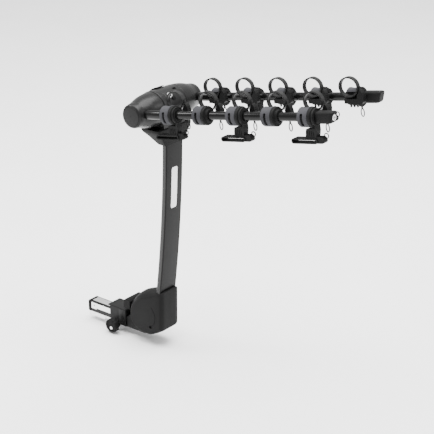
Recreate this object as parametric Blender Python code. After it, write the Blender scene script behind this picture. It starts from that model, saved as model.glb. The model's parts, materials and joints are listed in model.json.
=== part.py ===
"""Hitch mounted bike rack: a receiver shank, a tilting mast and two folding arms with five cradle pairs.

The origin is the centre of the shank's tip face. +X runs from the vehicle to the rear, +Y is the far
side, +Z is up. Lengths below are in millimetres; finish_piece scales them to metres.
"""
import math

import bmesh
import bpy
from mathutils import Matrix, Vector

MM = 0.001
GAP = 0.3

# Receiver shank and its clamp
SHANK = 50.8
SHANK_WALL = 6.0
SHANK_END = 270.0
CORNER = 4.0
PLUG_LIP = 16.0
PLATE_DEPTH = 2.0
CHANNEL_END = 92.0
CHANNEL_BASE = -44.0
STIRRUP_START = 138.0
COLLAR_START = 188.0
COLLAR_END = 226.0
STIRRUP_HALF = 38.0
STIRRUP_TOP = 47.0
STIRRUP_BASE = -46.0
PLATE = 5.2
KNOB_X, KNOB_Z = 174.0, -29.0
KNOB_RADIUS = 31.0

# Tilt pivot, fork and housing
PIVOT_X, PIVOT_Z = 350.0, 70.0
BOLT_RADIUS = 8.0
FORK_INNER = 25.8
FORK_OUTER = 31.8
HOUSING_HALF = 57.0
HOUSING_EDGE = 14.0
HOUSING_WALL = 8.0
HOUSING_CROWN = 16.0
SLOT_HALF = 33.0
LEVER_X, LEVER_Z = 285.0, 80.0

# Mast: a flattened tube that leans back along a parabola
MAST_REAR = 57.0
MAST_TOP = -77.0
MAST_BOTTOM = -840.0
MAST_STEPS = 10
MAST_BEND = 11360.0
MAST_WIDTH_REAR = 101.0
MAST_WIDTH_FRONT = 76.0
MAST_DEPTH = 32.0
MAST_WALL = 2.6
MAST_CORNER = 6.0

# Hub, whose axis runs along Y
HUB_X, HUB_Z = 420.0, 970.0
DRUM_RADIUS = 69.0
DRUM_HALF = 63.5
SHAFT_RADIUS = 11.0
SHAFT_HALF = 176.5
YOKE_TOP = -72.0
LATCH_RADIUS = 74.0
LATCH_ANGLE = math.radians(170.0)

# Arms and cradles
ARM_RISE = math.radians(10.6)
ARM_Y = 150.5
ARM_RADIUS = 16.0
ARM_BORE = 13.5
ARM_ROOT = 22.0
SLEEVE_START, SLEEVE_END = 57.5, 128.0
SLEEVE_RADIUS = 18.5
ARM_TIP = 862.0
CAP_START, CAP_END = 834.0, 900.0
CAP_SLANT = 7.0
LOCK_RADIUS = 11.0
FIRST_CRADLE = 169.0
CRADLE_PITCH = 156.5
CRADLES = 5
BODY_RADIUS = 30.0
PAD_BORE = 30.8
PAD_RADIUS = 38.0
STUB_RADIUS = 24.3
COLLAR_BORE = 25.2
RING_ALONG, RING_UP = 4.0, 45.0
RING_RADIUS, RING_THICK = 42.0, 3.5
STRAP_INNER, STRAP_OUTER = 31.5, 49.5
TAIL_MIDDLE = 40.0
CAGE_TOP = -38.8
CAGE_LOW = -73.0
LOOP_HEIGHT = 25.0
SWAY_CAGES = {"near": (1, 3, 5), "far": (2, 4)}
SIDES = {"near": -1, "far": 1}


def clear_scene():
    for item in list(bpy.data.objects):
        bpy.data.objects.remove(item, do_unlink=True)


def make_material(name, colour, roughness, metallic=0.0):
    material = bpy.data.materials.new(name)
    material.use_nodes = True
    shader = material.node_tree.nodes["Principled BSDF"]
    shader.inputs["Base Color"].default_value = (*colour, 1.0)
    shader.inputs["Roughness"].default_value = roughness
    shader.inputs["Metallic"].default_value = metallic
    return material


def arc(centre, radius, start, end, steps):
    """Points on a circle from start to end, in degrees, both ends included."""
    angles = [math.radians(start + (end - start) * i / steps) for i in range(steps + 1)]
    return [(centre[0] + radius * math.cos(a), centre[1] + radius * math.sin(a)) for a in angles]


def circle(centre, radius, steps):
    return arc(centre, radius, 0, 360, steps)[:-1]


def rectangle(low_u, low_v, high_u, high_v):
    return [(low_u, low_v), (high_u, low_v), (high_u, high_v), (low_u, high_v)]


def rounded(points, radius, steps=3):
    """Replace each corner of a convex outline with a curve that starts and ends radius from it."""
    result = []
    for i, corner in enumerate(points):
        here = Vector(corner)
        back = here + (Vector(points[i - 1]) - here).normalized() * radius
        ahead = here + (Vector(points[(i + 1) % len(points)]) - here).normalized() * radius
        for k in range(steps + 1):
            f = k / steps
            result.append(tuple(back * (1 - f) ** 2 + here * 2 * f * (1 - f) + ahead * f ** 2))
    return result


def inset(points, distance):
    """Move each edge of a counter-clockwise outline inwards by distance."""
    result = []
    for i, corner in enumerate(points):
        here = Vector(corner)
        before = (here - Vector(points[i - 1])).normalized()
        after = (Vector(points[(i + 1) % len(points)]) - here).normalized()
        normal = Vector((-before.y - after.y, before.x + after.x)).normalized()
        slope = max(0.5, normal.dot(Vector((-before.y, before.x))))
        result.append(tuple(here + normal * distance / slope))
    return result


def mesh_from(rings, closed_along=False):
    """Join equal rings of points into a closed surface with its faces pointing out."""
    shape = bmesh.new()
    rows = [[shape.verts.new(p) for p in ring] for ring in rings]
    count = len(rows[0])
    pairs = list(zip(rows, rows[1:]))
    if closed_along:
        pairs.append((rows[-1], rows[0]))
    for row, following in pairs:
        for i in range(count):
            j = (i + 1) % count
            shape.faces.new((row[i], row[j], following[j], following[i]))
    if not closed_along:
        shape.faces.new(rows[0])
        shape.faces.new(rows[-1])
    bmesh.ops.recalc_face_normals(shape, faces=shape.faces)
    mesh = bpy.data.meshes.new("shape")
    shape.to_mesh(mesh)
    shape.free()
    return mesh


def prism(outline, axis, low, high):
    """Extrude an outline along X (outline in Y, Z), Y (in X, Z) or Z (in X, Y)."""
    places = {
        "X": lambda u, v, w: (w, u, v),
        "Y": lambda u, v, w: (u, w, v),
    }
    place = places[axis]
    return mesh_from([[place(u, v, w) for u, v in outline] for w in (low, high)])


def turned(profile, axis, centre=(0.0, 0.0, 0.0), steps=24, solid=False):
    """Spin a profile of (along, radius) points about X or Y. A solid one has flat ends."""
    rings = []
    for k in range(steps):
        angle = math.tau * k / steps
        ring = []
        for along, radius in profile:
            side, up = radius * math.cos(angle), radius * math.sin(angle)
            point = (along, side, up) if axis == "X" else (side, along, up)
            ring.append(Vector(point) + Vector(centre))
        rings.append(ring)
    if not solid:
        return mesh_from(rings, closed_along=True)
    columns = [[ring[i] for ring in rings] for i in range(len(profile))]
    return mesh_from(columns)


def combine(mesh, tool, operation):
    """Apply an exact boolean of two meshes in one frame, and drop the tool."""
    target = bpy.data.objects.new("target", mesh)
    cutter = bpy.data.objects.new("cutter", tool)
    for item in (target, cutter):
        bpy.context.scene.collection.objects.link(item)
    modifier = target.modifiers.new("Boolean", "BOOLEAN")
    modifier.operation = operation
    modifier.solver = "EXACT"
    modifier.object = cutter
    depsgraph = bpy.context.evaluated_depsgraph_get()
    result = bpy.data.meshes.new_from_object(target.evaluated_get(depsgraph))
    for item in (target, cutter):
        bpy.data.objects.remove(item, do_unlink=True)
    return result


def cut(mesh, *tools):
    for tool in tools:
        mesh = combine(mesh, tool, "DIFFERENCE")
    return mesh


def join(mesh, *tools):
    for tool in tools:
        mesh = combine(mesh, tool, "UNION")
    return mesh


def finish_piece(name, mesh, material, parent=None, origin=(0.0, 0.0, 0.0)):
    """Make the named object. The mesh is given in the parent's frame; origin becomes its own."""
    mesh.transform(Matrix.Scale(MM, 4) @ Matrix.Translation(-Vector(origin)))
    mesh.materials.clear()
    mesh.materials.append(material)
    mesh.shade_smooth()
    mesh.set_sharp_from_angle(angle=math.radians(35.0))
    piece = bpy.data.objects.new(name, mesh)
    piece.location = Vector(origin) * MM
    piece.parent = parent
    bpy.context.scene.collection.objects.link(piece)
    return piece


def make_frame(name, location, rise=0.0):
    """An empty that carries the pieces built in its frame."""
    frame = bpy.data.objects.new(name, None)
    frame.location = Vector(location) * MM
    frame.rotation_euler = (0.0, -rise, 0.0)
    bpy.context.scene.collection.objects.link(frame)
    return frame


def square(half):
    return rectangle(-half, -half, half, half)


def make_shank(materials):
    half = SHANK / 2
    bore = half - SHANK_WALL
    bar = prism(rounded(square(half), CORNER), "X", PLUG_LIP + GAP, SHANK_END)
    bar = cut(bar, prism(square(bore), "X", 0, SHANK_END + 10))
    pocket = [(18, 19), (18, -9.5), (48, -9.5), (48, -4.5), (143.5, -4.5), (143.5, 19)]
    bar = cut(bar, prism(pocket, "Y", -half - 5, -half + PLATE_DEPTH))
    finish_piece("hitch_shank", bar, materials["gloss_black"])

    plug = prism(rounded(square(half), CORNER), "X", 0, PLUG_LIP)
    plug = join(plug, prism(square(bore - GAP), "X", PLUG_LIP - 1, PLUG_LIP + 30))
    finish_piece("shank_end_plug", plug, materials["plastic"])

    plate_outline = inset(pocket, GAP)
    plate = prism(plate_outline, "Y", -half, -half + PLATE_DEPTH - GAP)
    hole = turned([(-half - 5, 3.5), (-half + 5, 3.5)], "Y", (34, 0, 7), 12, solid=True)
    finish_piece("shank_side_plate", cut(plate, hole), materials["silver"])

    top = -half - GAP
    channel = [(-22, CHANNEL_BASE), (-19.5, CHANNEL_BASE), (-19.5, top - 2.5), (19.5, top - 2.5),
               (19.5, CHANNEL_BASE), (22, CHANNEL_BASE), (22, top), (-22, top)]
    finish_piece("shank_lower_channel", prism(channel, "X", 2, CHANNEL_END), materials["silver"])


def make_stirrup(materials):
    inner = STIRRUP_HALF - PLATE
    collar_outline = rectangle(-STIRRUP_HALF, -32, STIRRUP_HALF, STIRRUP_TOP)
    collar = prism(rounded(collar_outline, 6), "X", COLLAR_START, COLLAR_END)
    top_outline = rectangle(-STIRRUP_HALF + 2, STIRRUP_TOP - PLATE, STIRRUP_HALF - 2, STIRRUP_TOP - 0.4)
    collar = join(collar, prism(top_outline, "X", STIRRUP_START - 11, COLLAR_START + 4))
    for side, base in ((-1, STIRRUP_BASE), (1, -30)):
        low, high = sorted((side * inner, side * (STIRRUP_HALF - 0.4)))
        cheek = [(STIRRUP_START + 14, base), (KNOB_X + 12, base), (COLLAR_START + 6, base + 16),
                 (COLLAR_START + 6, STIRRUP_TOP - 2), (STIRRUP_START, STIRRUP_TOP - 2), (STIRRUP_START, -8)]
        collar = join(collar, prism(cheek, "Y", low, high))
    bore = prism(square(SHANK / 2 + GAP), "X", COLLAR_START - 5, COLLAR_END + 10)
    stud = turned([(-60, 5.3), (0, 5.3)], "Y", (KNOB_X, 0, KNOB_Z), 12, solid=True)
    finish_piece("receiver_stirrup", cut(collar, bore, stud), materials["satin_black"])

    face = -STIRRUP_HALF
    profile = [(face + 5, 5), (face - 2, 5), (face - 2, 13), (face - 10, 13), (face - 12, KNOB_RADIUS - 2),
               (face - 15, KNOB_RADIUS), (face - 34, KNOB_RADIUS), (face - 38, KNOB_RADIUS - 4),
               (face - 39, 12)]
    knob = turned(profile, "Y", (KNOB_X, 0, KNOB_Z), 20, solid=True)
    finish_piece("stirrup_knob", knob, materials["plastic"], origin=(KNOB_X, face, KNOB_Z))


def make_base_fork(materials):
    pivot = (PIVOT_X, PIVOT_Z)
    outline = [(COLLAR_END + GAP, -32), (330, -32), (358, 20)]
    outline += arc(pivot, 27, -20, 120, 6)
    outline += [(300, 62), (244, 26), (COLLAR_END + GAP, 12)]
    floor = rectangle(-FORK_INNER - 2, -32, FORK_INNER + 2, -FORK_INNER)
    fork = prism(floor, "X", COLLAR_END + GAP, 300)
    for low, high in ((-FORK_OUTER, -FORK_INNER), (FORK_INNER, FORK_OUTER)):
        fork = join(fork, prism(outline, "Y", low, high))
    hole = turned([(-60, BOLT_RADIUS + GAP), (60, BOLT_RADIUS + GAP)], "Y",
                  (PIVOT_X, 0, PIVOT_Z), 16, solid=True)
    finish_piece("base_fork", cut(fork, hole), materials["satin_black"])

    face = FORK_OUTER + GAP
    profile = [(-face - 10, 13), (-face, 13), (-face, BOLT_RADIUS), (face, BOLT_RADIUS), (face, 12.5),
               (face + 9, 12.5)]
    bolt = turned(profile, "Y", (PIVOT_X, 0, PIVOT_Z), 16, solid=True)
    finish_piece("tilt_pivot_bolt", bolt, materials["steel"], origin=(PIVOT_X, 0, PIVOT_Z))


def housing_outline(distance):
    """Side view of the lower housing, counter-clockwise, at a distance from the middle plane."""
    crown = HOUSING_CROWN * max(0.0, 1 - (distance / 50.0) ** 2)
    base = [(442, 193), (400, 177), (355, 158), (322, 143), (299, 128), (277, 106), (267, 86), (262, 55),
            (264, 32), (273, 14), (290, -3), (311, -16), (340, -21), (372, -20), (405, -4), (440, 18)]
    lift = {1: 0.3, 2: 0.9, 3: 1.0, 4: 0.9, 5: 0.7, 6: 0.4}
    points = []
    for i, (x, z) in enumerate(base):
        shift = crown * lift.get(i, 0.0)
        points.append((x - 0.5 * shift, z + 0.87 * shift))
    edge = max(0.0, (distance - 35.0) / (HOUSING_HALF - 35.0))
    return inset(points, HOUSING_EDGE * (1 - math.sqrt(max(0.0, 1 - edge ** 2))))


def mast_rear(z):
    """X of the mast's rear face, measured from the hub axis, at a height below that axis."""
    return MAST_REAR - (z + 60.0) ** 2 / MAST_BEND


def mast_section(z, margin=0.0):
    rear, front = MAST_WIDTH_REAR / 2, MAST_WIDTH_FRONT / 2
    corners = [(0, -rear), (0, rear), (-MAST_DEPTH, front), (-MAST_DEPTH, -front)]
    outline = rounded(inset(corners, -margin), MAST_CORNER, 2)
    return [(HUB_X + mast_rear(z) + x, y, HUB_Z + z) for x, y in outline]


def mast_sweep(top, bottom, margin=0.0, steps=MAST_STEPS):
    heights = [bottom + (top - bottom) * i / steps for i in range(steps + 1)]
    return mesh_from([mast_section(z, margin) for z in heights])


def make_mast(materials):
    tube = cut(mast_sweep(MAST_TOP, MAST_BOTTOM), mast_sweep(MAST_TOP + 20, MAST_BOTTOM - 20, -MAST_WALL))
    knuckle = [(420, 165), (399, 165), (393, 132), (345, 93), (328, 78), (328, 60), (340, 48), (372, 50),
               (420, 118)]
    tube = join(tube, prism(knuckle, "Y", -FORK_INNER + 0.4, FORK_INNER - 0.4))
    hole = turned([(-60, BOLT_RADIUS + GAP), (60, BOLT_RADIUS + GAP)], "Y",
                  (PIVOT_X, 0, PIVOT_Z), 16, solid=True)
    finish_piece("mast_tube", cut(tube, hole), materials["satin_black"], origin=(PIVOT_X, 0, PIVOT_Z))


def make_housing(materials):
    step = (MAST_TOP - MAST_BOTTOM) / MAST_STEPS
    slot = [(225, 46), (270, 46), (276, 80), (306, 118), (358, 147), (436, 183), (436, 30), (404, -60),
            (225, -60)]
    distances = [GAP / 2, 18, 35, 44, 50, 54.5, HOUSING_HALF]
    for name, side in SIDES.items():
        rings = [[(x, side * d, z) for x, z in housing_outline(d)] for d in distances]
        shell = mesh_from(rings)
        low, high = sorted((-side * 5.0, side * (HOUSING_HALF - HOUSING_WALL)))
        cavity = prism(inset(housing_outline(HOUSING_HALF), -HOUSING_EDGE + HOUSING_WALL), "Y", low, high)
        throat = prism(slot, "Y", -SLOT_HALF, SLOT_HALF)
        lever_way = prism(rectangle(240, 62, 292, 98), "Y", -10.8, 10.8)
        mouth = mast_sweep(MAST_TOP, MAST_BOTTOM - step, GAP + 0.4, MAST_STEPS + 1)
        shell = cut(shell, cavity, throat, lever_way, mouth)
        finish_piece(f"housing_{name}", shell, materials["plastic"], origin=(PIVOT_X, 0, PIVOT_Z))


def make_tilt_lever(materials):
    paddle = [(254, 59), (257, 66), (258, 96), (248, 104), (232, 104), (222, 94), (221, 66), (230, 57)]
    stem = [(252, 73), (285, 72), (292, 80), (285, 88), (252, 89)]
    lever = join(prism(paddle, "Y", -44, 44), prism(stem, "Y", -10, 10))
    finish_piece("tilt_release_lever", lever, materials["plastic"], origin=(LEVER_X, 0, LEVER_Z))


def make_yoke(materials):
    levels = [(-140.0, 17, 62.5, 57), (-105.0, -12, 62.5, 80), (-88.0, -30, 62.5, 93), (YOKE_TOP, -34, 62, 98)]
    rings = []
    for z, front, rear, half in levels:
        outline = rounded(rectangle(front, -half, rear, half), 9, 2)
        rings.append([(HUB_X + x, y, HUB_Z + z) for x, y in outline])
    pocket = mast_sweep(MAST_TOP + GAP, -200, GAP, 3)
    finish_piece("hub_yoke", cut(mesh_from(rings), pocket), materials["plastic"])


def make_hub(frame, materials):
    bore = SHAFT_RADIUS + GAP
    profile = [(-DRUM_HALF, bore), (-DRUM_HALF, 68), (-62, 71), (-35, 71), (-34, DRUM_RADIUS),
               (62, DRUM_RADIUS), (DRUM_HALF, 68), (DRUM_HALF, bore)]
    drum = turned(profile, "Y", steps=24)
    foot = prism(rectangle(-33, YOKE_TOP + GAP, 56, -40), "Y", -62, 62)
    drum = join(drum, foot)
    hinge = (LATCH_RADIUS * math.cos(LATCH_ANGLE), LATCH_RADIUS * math.sin(LATCH_ANGLE))
    for low, high in ((-28, -22.6), (22.6, 28)):
        lug = circle(hinge, 6, 8)
        drum = join(drum, prism(lug, "Y", low, high))
    drum = cut(drum, turned([(-100, bore), (100, bore)], "Y", steps=24, solid=True))
    finish_piece("hub_drum", drum, materials["gloss_plastic"], frame)

    shaft = turned([(-SHAFT_HALF, SHAFT_RADIUS), (SHAFT_HALF, SHAFT_RADIUS)], "Y", steps=20, solid=True)
    finish_piece("hub_shaft", shaft, materials["steel"], frame)

    inner, outer = DRUM_RADIUS + 2.3, DRUM_RADIUS + 7.5
    outline = arc((0, 0), inner, 100, 169, 6) + arc((0, 0), outer, 169, 100, 6)
    lever = join(prism(outline, "Y", -22, 22), prism(circle(hinge, 4.5, 8), "Y", -22, 22))
    finish_piece("fold_release_lever", lever, materials["plastic"], frame, (hinge[0], 0, hinge[1]))


def make_cone(name, side, frame, materials):
    """The rotating end of the hub that an arm is socketed into, and its end cap."""
    bore = SHAFT_RADIUS + GAP
    profile = [(64.3, bore), (64.3, 66), (66, 68), (96, 65.6), (124, 60), (150, 52), (158, 50), (182, 46),
               (186, 41), (186, 39.4), (181.5, 39.4), (181.5, 20), (177, 20), (177, bore)]
    cone = turned([(side * along, radius) for along, radius in profile], "Y", steps=24)
    socket = turned([(ARM_ROOT - GAP, ARM_RADIUS + GAP), (90, ARM_RADIUS + GAP)], "X",
                    (0, side * ARM_Y, 0), 16, solid=True)
    finish_piece(f"hub_cone_{name}", cut(cone, socket), materials["gloss_plastic"], frame)
    profile = [(177.3, 19.6), (181.8, 19.6), (181.8, 39), (186, 39), (187.4, 37), (188.2, 16)]
    cap = turned([(side * along, radius) for along, radius in profile], "Y", steps=24, solid=True)
    finish_piece(f"hub_cap_{name}", cap, materials["plastic"], frame)


def make_arm(name, side, frame, materials):
    centre = (0, side * ARM_Y, 0)
    profile = [(ARM_ROOT, ARM_BORE), (ARM_ROOT, ARM_RADIUS), (SLEEVE_START, ARM_RADIUS),
               (SLEEVE_START, SLEEVE_RADIUS), (SLEEVE_END, SLEEVE_RADIUS), (SLEEVE_END, ARM_RADIUS),
               (ARM_TIP, ARM_RADIUS), (ARM_TIP, ARM_BORE)]
    finish_piece(f"arm_{name}", turned(profile, "X", centre, 16), materials["gloss_black"], frame)

    half_width, half_height = 19.0, 21.5
    rings = []
    for along, shrink in ((CAP_START, 1.5), (CAP_START + 3, 0.0), (CAP_END - 6, 0.0), (CAP_END, 4.0)):
        outline = rounded(rectangle(shrink - half_width, shrink - half_height,
                                    half_width - shrink, half_height - shrink), 12 - shrink, 4)
        slant = CAP_SLANT / half_height if along > CAP_START + 10 else 0.0
        rings.append([(along + slant * z, side * ARM_Y + y, z) for y, z in outline])
    socket = turned([(CAP_START - 9, ARM_RADIUS + GAP), (ARM_TIP + GAP, ARM_RADIUS + GAP)], "X",
                    centre, 16, solid=True)
    cap = cut(mesh_from(rings), socket)
    if name == "near":
        face = CAP_END + 1
        keyway = turned([(face - 14, LOCK_RADIUS + GAP), (face + 30, LOCK_RADIUS + GAP)], "X",
                        centre, 16, solid=True)
        cap = cut(cap, keyway)
        core = turned([(face - 13.7, LOCK_RADIUS), (face - 1, LOCK_RADIUS), (face, LOCK_RADIUS - 1.5)],
                      "X", centre, 16, solid=True)
        finish_piece("arm_lock_core", core, materials["steel"], frame, (face, side * ARM_Y, 0))
    finish_piece(f"arm_cap_{name}", cap, materials["plastic"], frame)


def make_cradle(name, side, number, frame, materials):
    """One bike cradle: a clamp body on the arm, a grey pad over it and a strap loop on its inner side."""
    along = FIRST_CRADLE + (number - 1) * CRADLE_PITCH
    inward = -side
    place = Matrix.Translation((along, side * ARM_Y, 0))

    def across(low, high):
        return sorted((inward * low, inward * high))

    profile = [(-32, 16.3), (-32, 28), (-30, BODY_RADIUS), (14.3, BODY_RADIUS), (14.3, 36.5),
               (16, PAD_RADIUS), (25, PAD_RADIUS), (27, STUB_RADIUS), (36, STUB_RADIUS), (36, 16.3)]
    body = turned(profile, "X", steps=16)
    ring_centre = (RING_ALONG, RING_UP)
    base = prism(rectangle(-20, -14, 26.8, RING_UP - RING_RADIUS - GAP), "Y", *across(22, 40))
    buckle = [(-20, -14), (58, -14), (60, -4), (58, 24), (52, 34), (34, 34), (34, 2.6), (-20, 2.6)]
    buckle = prism(buckle, "Y", *across(STRAP_INNER, STRAP_OUTER + 1))
    strap_room = prism(circle(ring_centre, RING_RADIUS + GAP, 20), "Y", *across(STRAP_INNER - GAP, 60))
    tail_room = prism(rectangle(RING_ALONG + 38, -30, RING_ALONG + RING_RADIUS + GAP, 50), "Y",
                      *across(TAIL_MIDDLE - 4.3, TAIL_MIDDLE + 4.3))
    body = cut(join(body, base, buckle), strap_room, tail_room)
    body.transform(place)
    finish_piece(f"cradle_{name}_{number}", body, materials["plastic"], frame)

    outer_arc = arc((0, 0), PAD_RADIUS, 40, 260, 11)
    inner_arc = arc((0, 0), PAD_BORE, 260, 40, 11)
    outline = [(inward * u, v) for u, v in outer_arc + inner_arc]
    pad = prism(outline, "X", -32, 14)
    groove_low, groove_high = across(-45, -3)
    groove = prism(rectangle(groove_low, -45, groove_high, 3), "X", -11, -4.5)
    pad = cut(pad, groove)
    pad.transform(place)
    finish_piece(f"pad_{name}_{number}", pad, materials["grey_rubber"], frame)

    outer = circle(ring_centre, RING_RADIUS, 20)
    strap = prism(outer, "Y", *across(STRAP_INNER, STRAP_OUTER))
    hole = prism(circle(ring_centre, RING_RADIUS - RING_THICK, 20), "Y", *across(20, 60))
    strap = cut(strap, hole)
    edge = RING_ALONG + RING_RADIUS
    tail = prism(rectangle(edge - 3, -36, edge, RING_UP), "Y", *across(TAIL_MIDDLE - 4, TAIL_MIDDLE + 4))
    pull = [(edge - 1.5 + 7 * math.cos(a), -47 + 14 * math.sin(a)) for a in
            [math.tau * k / 12 for k in range(12)]]
    pull_ring = prism(pull, "Y", *across(TAIL_MIDDLE - 1.8, TAIL_MIDDLE + 1.8))
    finger = prism(inset(pull, 3), "Y", *across(20, 60))
    strap = join(strap, tail, cut(pull_ring, finger))
    strap.transform(place)
    finish_piece(f"strap_{name}_{number}", strap, materials["strap"], frame)


def make_sway_cage(name, side, number, frame, materials):
    """A cage that hangs from a cradle and swings about the arm to steady a bike's seat tube."""
    along = FIRST_CRADLE + (number - 1) * CRADLE_PITCH
    cage = turned([(27.4, COLLAR_BORE), (27.4, 31), (35.4, 31), (35.4, COLLAR_BORE)], "X", steps=16)
    stem = [(-8, CAGE_TOP), (27.4, CAGE_TOP), (27.4, -27), (35.4, -27), (35.4, -44), (27, CAGE_LOW - 1),
            (-13, CAGE_LOW - 1)]
    low, middle = CAGE_LOW - LOOP_HEIGHT, CAGE_LOW - LOOP_HEIGHT / 2
    radius = LOOP_HEIGHT / 2
    loop = arc((-75 + radius, middle), radius, 90, 270, 6) + arc((40 - radius, middle), radius, -90, 90, 6)
    buckle = [(30, low + 2), (56, low + 2), (60, low + 10), (58, CAGE_LOW - 4), (50, CAGE_LOW + 3),
              (30, CAGE_LOW + 3)]
    cage = join(cage, prism(stem, "Y", -14, 14), prism(loop, "Y", -15, 15), prism(buckle, "Y", -12, 12))
    cage = cut(cage, prism(inset(loop, 3), "Y", -20, 20))
    ring = circle((66, CAGE_LOW - 6), 9, 10)
    pull = cut(prism(ring, "Y", -1.8, 1.8), prism(inset(ring, 3), "Y", -20, 20))
    cage = join(cage, pull)
    cage.transform(Matrix.Translation((along, side * ARM_Y, 0)))
    finish_piece(f"sway_cage_{name}_{number}", cage, materials["plastic"], frame,
                 (along, side * ARM_Y, 0))


def build():
    clear_scene()
    materials = {
        "gloss_black": make_material("gloss_black", (0.012, 0.012, 0.014), 0.25),
        "satin_black": make_material("satin_black", (0.015, 0.015, 0.016), 0.4),
        "plastic": make_material("black_plastic", (0.022, 0.022, 0.023), 0.6),
        "gloss_plastic": make_material("gloss_plastic", (0.02, 0.02, 0.021), 0.35),
        "grey_rubber": make_material("grey_rubber", (0.13, 0.14, 0.15), 0.7),
        "strap": make_material("strap_rubber", (0.02, 0.02, 0.02), 0.5),
        "silver": make_material("silver_steel", (0.75, 0.76, 0.77), 0.25, 1.0),
        "steel": make_material("zinc_steel", (0.6, 0.6, 0.61), 0.35, 1.0),
    }
    make_shank(materials)
    make_stirrup(materials)
    make_base_fork(materials)
    make_mast(materials)
    make_housing(materials)
    make_tilt_lever(materials)
    make_yoke(materials)
    hub_frame = make_frame("hub_axis", (HUB_X, 0, HUB_Z))
    arm_frame = make_frame("arm_axis", (HUB_X, 0, HUB_Z), ARM_RISE)
    make_hub(hub_frame, materials)
    for name, side in SIDES.items():
        make_cone(name, side, arm_frame, materials)
        make_arm(name, side, arm_frame, materials)
        for number in range(1, CRADLES + 1):
            make_cradle(name, side, number, arm_frame, materials)
        for number in SWAY_CAGES[name]:
            make_sway_cage(name, side, number, arm_frame, materials)


build()
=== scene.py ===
"""Looks of the hitch mounted bike rack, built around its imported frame. Lengths are in metres."""
import json
import math

import bmesh
import bpy
from mathutils import Matrix, Vector


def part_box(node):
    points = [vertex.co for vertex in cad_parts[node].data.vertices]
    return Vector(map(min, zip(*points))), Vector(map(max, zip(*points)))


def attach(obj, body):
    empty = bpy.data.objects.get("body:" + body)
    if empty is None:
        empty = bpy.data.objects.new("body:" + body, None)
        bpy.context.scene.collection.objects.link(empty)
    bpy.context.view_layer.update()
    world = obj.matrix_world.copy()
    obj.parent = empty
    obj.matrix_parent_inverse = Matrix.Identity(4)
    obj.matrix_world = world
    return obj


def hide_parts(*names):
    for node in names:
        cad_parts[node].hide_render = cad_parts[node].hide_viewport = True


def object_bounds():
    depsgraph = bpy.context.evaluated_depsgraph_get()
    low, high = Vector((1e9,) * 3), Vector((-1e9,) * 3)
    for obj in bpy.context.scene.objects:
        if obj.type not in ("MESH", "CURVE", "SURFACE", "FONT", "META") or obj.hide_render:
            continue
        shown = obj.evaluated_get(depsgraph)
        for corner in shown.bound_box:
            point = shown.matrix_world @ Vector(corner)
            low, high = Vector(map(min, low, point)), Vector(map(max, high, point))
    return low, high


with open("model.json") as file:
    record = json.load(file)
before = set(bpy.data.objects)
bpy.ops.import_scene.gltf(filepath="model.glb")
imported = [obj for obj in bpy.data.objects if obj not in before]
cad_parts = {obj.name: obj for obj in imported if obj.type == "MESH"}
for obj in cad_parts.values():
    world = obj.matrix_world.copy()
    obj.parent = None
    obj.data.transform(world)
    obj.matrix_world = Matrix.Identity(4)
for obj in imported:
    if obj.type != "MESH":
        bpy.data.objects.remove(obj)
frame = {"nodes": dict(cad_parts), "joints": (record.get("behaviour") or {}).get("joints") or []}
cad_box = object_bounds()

MM = 0.001
NODES = frame["nodes"]
JOINTS = {joint["name"]: joint for joint in frame["joints"]}
SIDES = {"near": -1, "far": 1}
SWAY_CAGES = {"near": (1, 3, 5), "far": (2, 4)}
CRADLES = 5
SMOOTH_ANGLE = 38.0
WELD = 0.000005

# Driving dimensions, in millimetres. Heights on the mast are measured from the hub axis.
SHAFT_BORE = 11.3
DRUM_RADIUS = 69
DRUM_HALF = 63.5
ARM_RADIUS = 16
ARM_BORE = 13.5
ARM_SOCKET = 16.3
ARM_END = 862
LOCK_RADIUS = 11
HOUSING_WALL = 8
HOUSING_EDGE = 14.0
HOUSING_CROWN = 16.0
MAST_TOP = -77
MAST_BOTTOM = -840
MAST_DEPTH = 32
MAST_REAR_HALF = 50.5
MAST_FRONT_HALF = 38
MAST_BEND = 11360.0
REFLECTOR_TOP = -240
REFLECTOR_LENGTH = 172
REFLECTOR_STEPS = 20

HUB = Vector(JOINTS["arm_fold"]["pos_m"])
PIVOT = Vector(JOINTS["mast_tilt"]["pos_m"])
ARM_AXIS = Vector(JOINTS["lock_core_turn"]["axis"])
ARM_RISE = math.atan2(ARM_AXIS.z, ARM_AXIS.x)
ARM_FRAME = Matrix.Translation(HUB) @ Matrix.Rotation(-ARM_RISE, 4, "Y")
HUB_FRAME = Matrix.Translation(HUB)
ARM_Y = abs(JOINTS["lock_core_turn"]["pos_m"][1])


def cradle_along(number):
    """Distance of a cradle's centre from the hub axis, along the arm."""
    near = [Vector(JOINTS[f"sway_near_{i}"]["pos_m"]) - HUB for i in (1, 5)]
    first, last = (p.dot(ARM_AXIS) for p in near)
    return first + (last - first) * (number - 1) / (CRADLES - 1)


# Materials ----------------------------------------------------------------------------------------


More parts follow.
